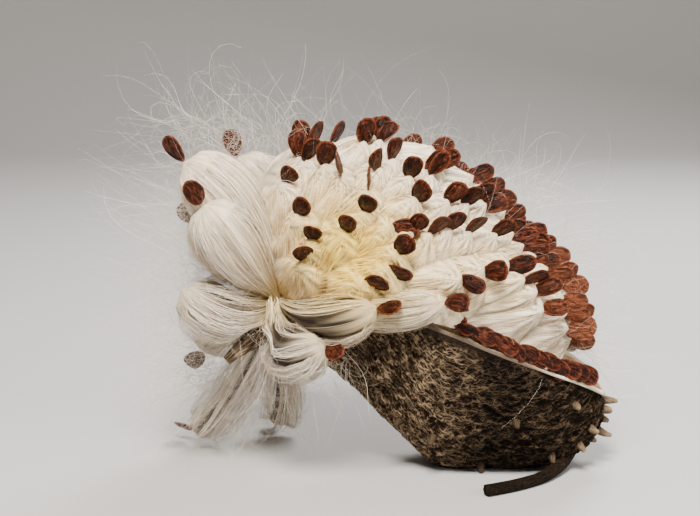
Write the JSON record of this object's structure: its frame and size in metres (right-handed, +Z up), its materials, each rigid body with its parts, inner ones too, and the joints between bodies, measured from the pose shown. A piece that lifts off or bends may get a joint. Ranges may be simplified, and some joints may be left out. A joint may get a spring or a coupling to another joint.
{
  "type": "milkweed seed pod",
  "caption": "Ripe dry milkweed pod lying on its belly, split along the top: a boat-shaped wrinkled husk with a beak, and a burst of white silky floss set with flat brown seeds.",
  "frame": {"origin": "on the flat spot that the belly rests on, under the widest part of the pod", "axes": "+X along the pod towards its blunt, stalk end, with the beak at -X; +Z up, out of the split seam"},
  "size_m": [0.1284, 0.0662, 0.0986],
  "materials": {
    "husk": "dry, matt, grey-brown and shaggy with long wrinkles outside, smooth and tan inside",
    "placenta": "dry, papery, pale tan",
    "floss": "fine white silky hairs with a soft sheen, cream in the middle",
    "seed": "dark red-brown, finely wrinkled, with a lighter raised margin and a slight gloss"
  },
  "bodies": {
    "root": {"floss": "floss", "husk": "husk", "placenta": "placenta", "seeds_01": "seed", "seeds_02": "seed", "seeds_03": "seed", "seeds_04": "seed", "seeds_05": "seed", "seeds_06": "seed", "seeds_07": "seed", "seeds_08": "seed", "seeds_09": "seed", "seeds_10": "seed", "seeds_11": "seed", "seeds_12": "seed", "seeds_13": "seed", "seeds_14": "seed", "seeds_15": "seed", "seeds_16": "seed", "seeds_17": "seed", "seeds_18": "seed", "seeds_19": "seed", "seeds_20": "seed", "seeds_21": "seed", "seeds_22": "seed", "seeds_23": "seed", "seeds_24": "seed", "seeds_25": "seed", "seeds_26": "seed", "seeds_27": "seed", "seeds_28": "seed", "seeds_29": "seed", "seeds_30": "seed", "seeds_31": "seed", "seeds_32": "seed", "seeds_33": "seed", "seeds_34": "seed", "seeds_35": "seed", "seeds_36": "seed", "seeds_37": "seed", "seeds_38": "seed", "seeds_39": "seed", "seeds_40": "seed", "seeds_41": "seed", "seeds_42": "seed", "seeds_43": "seed", "seeds_44": "seed", "seeds_45": "seed", "seeds_46": "seed", "seeds_47": "seed", "seeds_48": "seed", "seeds_49": "seed", "seeds_50": "seed", "seeds_51": "seed", "seeds_52": "seed", "seeds_53": "seed", "seeds_54": "seed", "seeds_55": "seed", "seeds_56": "seed"}
  },
  "joints": []
}
